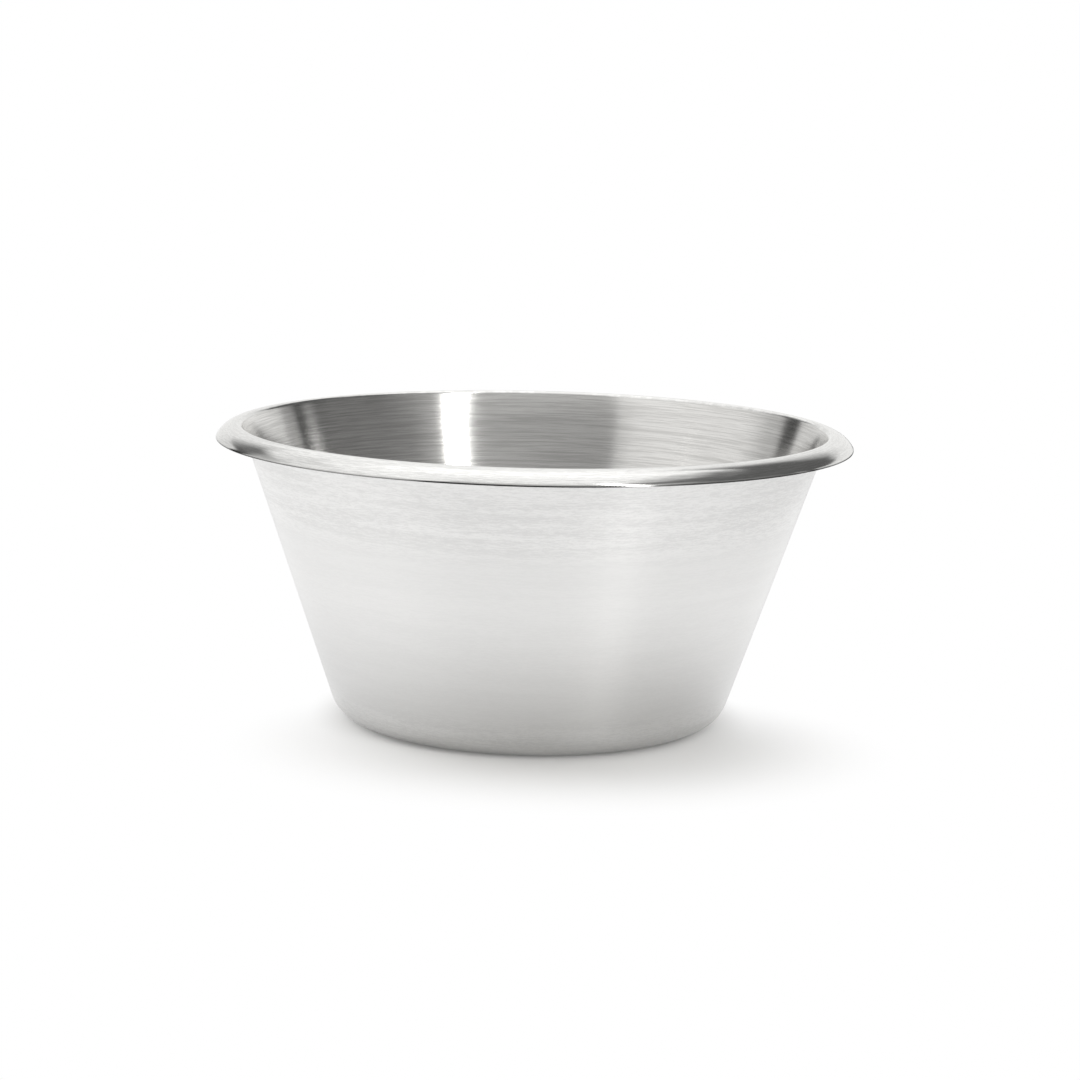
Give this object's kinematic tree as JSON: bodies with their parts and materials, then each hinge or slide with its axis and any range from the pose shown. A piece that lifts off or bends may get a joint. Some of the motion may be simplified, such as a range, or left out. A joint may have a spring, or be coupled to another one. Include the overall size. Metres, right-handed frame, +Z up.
{
  "type": "pastry bowl",
  "caption": "Flared pastry bowl of thin stainless steel sheet with a flat bottom, a rounded heel, a straight conical wall and an open rolled rim, for mixing and whisking by hand.",
  "frame": {"origin": "centre of the flat bottom, on the surface the bowl stands on", "axes": "+Z up along the bowl's axis; X and Y are any two directions across it, because the bowl is a solid of revolution"},
  "size_m": [0.24, 0.24, 0.1115],
  "materials": {
    "bowl_steel": "fine satin, brushed around the bowl's axis",
    "rim_steel": "finer satin, nearly polished"
  },
  "bodies": {
    "root": {"base": "bowl_steel", "heel": "bowl_steel", "wall": "bowl_steel", "rim_crest": "rim_steel", "rim_lip": "rim_steel"}
  },
  "joints": []
}
